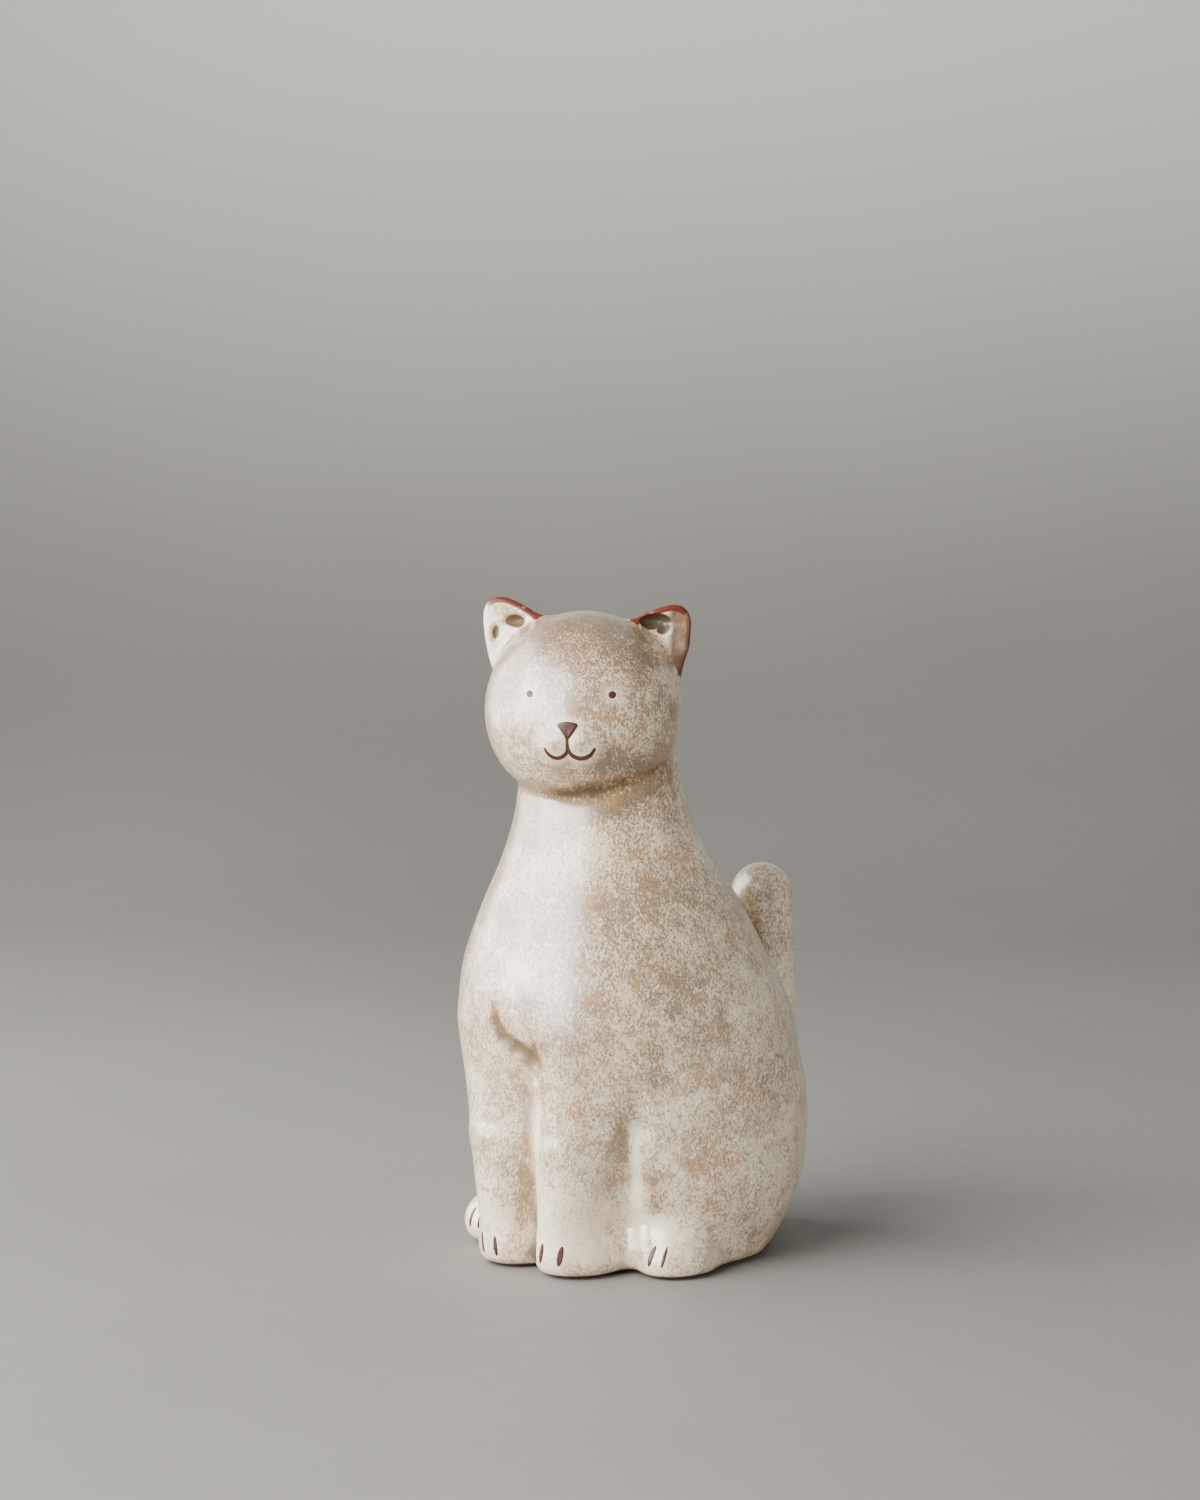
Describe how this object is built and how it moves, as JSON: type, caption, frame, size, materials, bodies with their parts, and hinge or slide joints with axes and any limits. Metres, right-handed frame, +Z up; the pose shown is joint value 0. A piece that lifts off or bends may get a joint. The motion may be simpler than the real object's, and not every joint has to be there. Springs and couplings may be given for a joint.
{
  "type": "cat figurine",
  "caption": "Seated cat figurine in glazed ceramic: pear-shaped hollow body, round head turned to one side, small hollowed ears, upright tail, inlaid face and toe lines, flat foot.",
  "frame": {"origin": "on the floor plane, at the middle of the underside below the belly", "axes": "+Z up along the figure's height, -Y the way the chest and paws face, +X to the cat's own left"},
  "size_m": [0.1102, 0.1374, 0.2224],
  "materials": {
    "glaze": "satin-gloss cream glaze, speckled and veined with rust brown",
    "clay": "bare fired red-brown clay, matt",
    "slip": "dark red-brown slip under a thin clear glaze"
  },
  "bodies": {
    "root": {"body_shell": "glaze", "base_slab": "clay", "head_shell": "glaze", "left_ear": "glaze", "right_ear": "glaze", "tail": "glaze", "left_eye": "slip", "right_eye": "slip", "nose": "slip", "mouth": "slip", "front_left_toes": "slip", "front_right_toes": "slip", "hind_left_toes": "slip", "hind_right_toes": "slip"}
  },
  "joints": []
}
